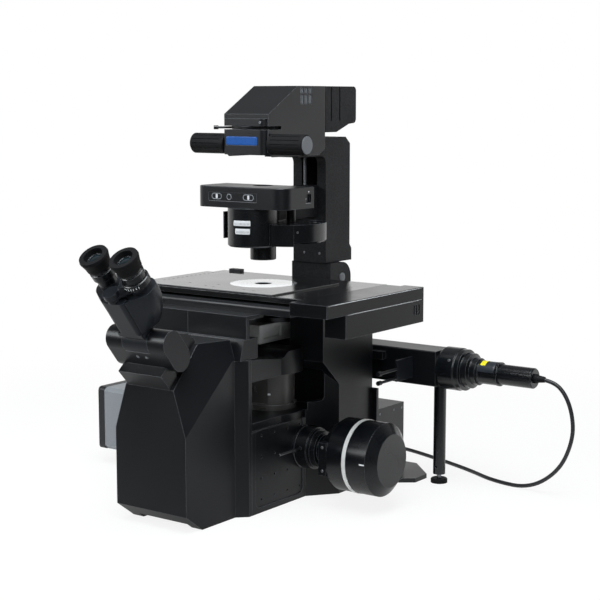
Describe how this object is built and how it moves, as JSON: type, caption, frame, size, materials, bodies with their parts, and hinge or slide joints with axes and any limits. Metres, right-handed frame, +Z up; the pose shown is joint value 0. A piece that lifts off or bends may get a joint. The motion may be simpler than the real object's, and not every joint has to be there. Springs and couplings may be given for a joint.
{
  "type": "inverted microscope",
  "caption": "Black inverted research microscope: tilting eyepieces, moving stage, lamp pillar with condenser that tilts back, side cameras and a rear illuminator arm with a light lead.",
  "frame": {"origin": "on the bench plane, below the middle of the instrument's bounding box, the free light lead not counted", "axes": "+Z up; -Y towards the seated user; +X towards the stage drive and the round camera"},
  "size_m": [0.8511, 0.7973, 0.706],
  "materials": {
    "black_casting": "black crinkle paint on cast aluminium",
    "black_anodised": "black anodised, turned or milled",
    "black_moulding": "fine-grained black moulding",
    "black_rubber": "matt rubber",
    "grey_shell": "light grey paint",
    "ceramic_plate": "satin hard coat",
    "white_insert": "white disc",
    "bright_steel": "ground steel",
    "silver_ring": "bright turned ring",
    "nose_metal": "satin barrels",
    "yellow_band": "plain yellow band on a black tube",
    "lens_glass": "black barrel with a front lens",
    "black_cable": "flexible black sheath"
  },
  "bodies": {
    "frame": {"arm_collar": "black_anodised", "arm_housing": "black_casting", "arm_lamp": "black_anodised", "cable": "black_cable", "cable_coil": "black_cable", "cable_gland": "black_rubber", "cable_plug": "black_moulding", "camera_cap": "black_anodised", "camera_drum": "black_anodised", "camera_neck": "black_anodised", "camera_ring": "silver_ring", "deck_stop": "black_casting", "foot_plate": "black_casting", "frame_core": "black_casting", "frame_front": "black_casting", "frame_rear": "black_casting", "hinge_block": "black_casting", "label_tube": "yellow_band", "left_camera": "grey_shell", "left_port": "black_anodised", "leg": "black_anodised", "port_ring": "black_anodised", "rear_box": "black_casting", "stage_base": "black_casting", "stage_deck": "ceramic_plate", "stage_drive": "black_casting", "stage_wall": "black_casting", "tube_drum": "black_casting", "tube_mount": "black_casting", "turret_band": "black_casting"},
    "stage_y_carriage": {"stage_carriage": "ceramic_plate"},
    "stage_x_table": {"stage_table": "ceramic_plate", "stage_insert": "white_insert"},
    "focus": {"focus_unit": "black_casting"},
    "nosepiece": {"nosepiece": "nose_metal"},
    "filter_turret": {"filter_turret": "black_anodised"},
    "tube_head": {"tube_neck": "black_casting"},
    "prism_left": {"prism_left": "black_casting", "eyepiece_left": "black_anodised", "eyecup_left": "black_rubber"},
    "prism_right": {"prism_right": "black_casting", "eyepiece_right": "black_anodised", "eyecup_right": "black_rubber"},
    "diopter": {"diopter_ring": "black_anodised"},
    "lamp_pillar": {"pillar": "black_casting", "pillar_rod": "bright_steel", "lamp_hood": "black_casting", "field_stop": "black_casting", "lamp_house": "black_casting", "grip_left": "black_rubber", "grip_right": "black_rubber"},
    "field_stop_ring": {"field_ring": "black_anodised"},
    "condenser": {"condenser_carriage": "black_casting", "condenser_head": "black_casting", "condenser_drum": "black_anodised", "condenser_lens": "lens_glass"},
    "condenser_turret": {"condenser_wheel": "black_anodised"},
    "condenser_knob": {"condenser_knob": "black_moulding"},
    "arm_slider": {"arm_slider": "black_anodised"},
    "leg_foot": {"leg_foot": "black_anodised"}
  },
  "joints": [
    {"name": "stage_y", "type": "slide", "parent": "frame", "child": "stage_y_carriage", "axis": [0, 1, 0], "range_m": [-0.0375, 0.0375]},
    {"name": "stage_x", "type": "slide", "parent": "stage_y_carriage", "child": "stage_x_table", "axis": [1, 0, 0], "range_m": [-0.057, 0.057]},
    {"name": "focus_lift", "type": "slide", "parent": "frame", "child": "focus", "axis": [0, 0, 1], "range_m": [-0.005, 0.005]},
    {"name": "nosepiece_turn", "type": "hinge", "parent": "focus", "child": "nosepiece", "pos_m": [-0.0365, 0.0944, 0], "axis": [0, 0, 1], "continuous": true},
    {"name": "filter_turn", "type": "hinge", "parent": "frame", "child": "filter_turret", "pos_m": [-0.0145, 0.0524, 0], "axis": [0, 0, 1], "continuous": true},
    {"name": "tube_tilt", "type": "hinge", "parent": "frame", "child": "tube_head", "pos_m": [-0.0365, -0.249, 0.307], "axis": [1, 0, 0], "range_deg": [-15, 12]},
    {"name": "eye_right", "type": "hinge", "parent": "tube_head", "child": "prism_right", "pos_m": [-0.0365, -0.25499, 0.30249], "axis": [0, -0.6018, 0.7986], "range_deg": [-6, 7]},
    {"name": "eye_left", "type": "hinge", "parent": "tube_head", "child": "prism_left", "pos_m": [-0.0365, -0.25499, 0.30249], "axis": [0, -0.6018, 0.7986], "range_deg": [-7, 6]},
    {"name": "diopter_turn", "type": "hinge", "parent": "prism_right", "child": "diopter", "pos_m": [-0.005, -0.23055, 0.3209], "axis": [0, -0.6018, 0.7986], "range_deg": [-45, 45]},
    {"name": "pillar_tilt", "type": "hinge", "parent": "frame", "child": "lamp_pillar", "pos_m": [-0.0365, 0.2394, 0.362], "axis": [-1, 0, 0], "range_deg": [0, 30]},
    {"name": "field_stop_turn", "type": "hinge", "parent": "lamp_pillar", "child": "field_stop_ring", "pos_m": [-0.0365, 0.0604, 0], "axis": [0, 0, 1], "range_deg": [-15, 15]},
    {"name": "condenser_lift", "type": "slide", "parent": "lamp_pillar", "child": "condenser", "axis": [0, 0, 1], "range_m": [-0.014, 0.04]},
    {"name": "condenser_turn", "type": "hinge", "parent": "condenser", "child": "condenser_turret", "pos_m": [0.0022, 0.0887, 0], "axis": [0, 0, 1], "continuous": true},
    {"name": "condenser_focus", "type": "hinge", "parent": "lamp_pillar", "child": "condenser_knob", "pos_m": [-0.0365, 0.2124, 0.50501], "axis": [-1, 0, 0], "range_deg": [-66.86, 191]},
    {"name": "slider_pull", "type": "slide", "parent": "frame", "child": "arm_slider", "axis": [0, -1, 0], "range_m": [0, 0.03]},
    {"name": "foot_screw", "type": "slide", "parent": "frame", "child": "leg_foot", "axis": [0, 0, 1], "range_m": [0, 0.006]}
  ],
  "couplings": [
    {"joint": "eye_left", "follows": "eye_right", "ratio": -1},
    {"joint": "condenser_focus", "follows": "condenser_lift", "rad_per_m": 83.333}
  ]
}
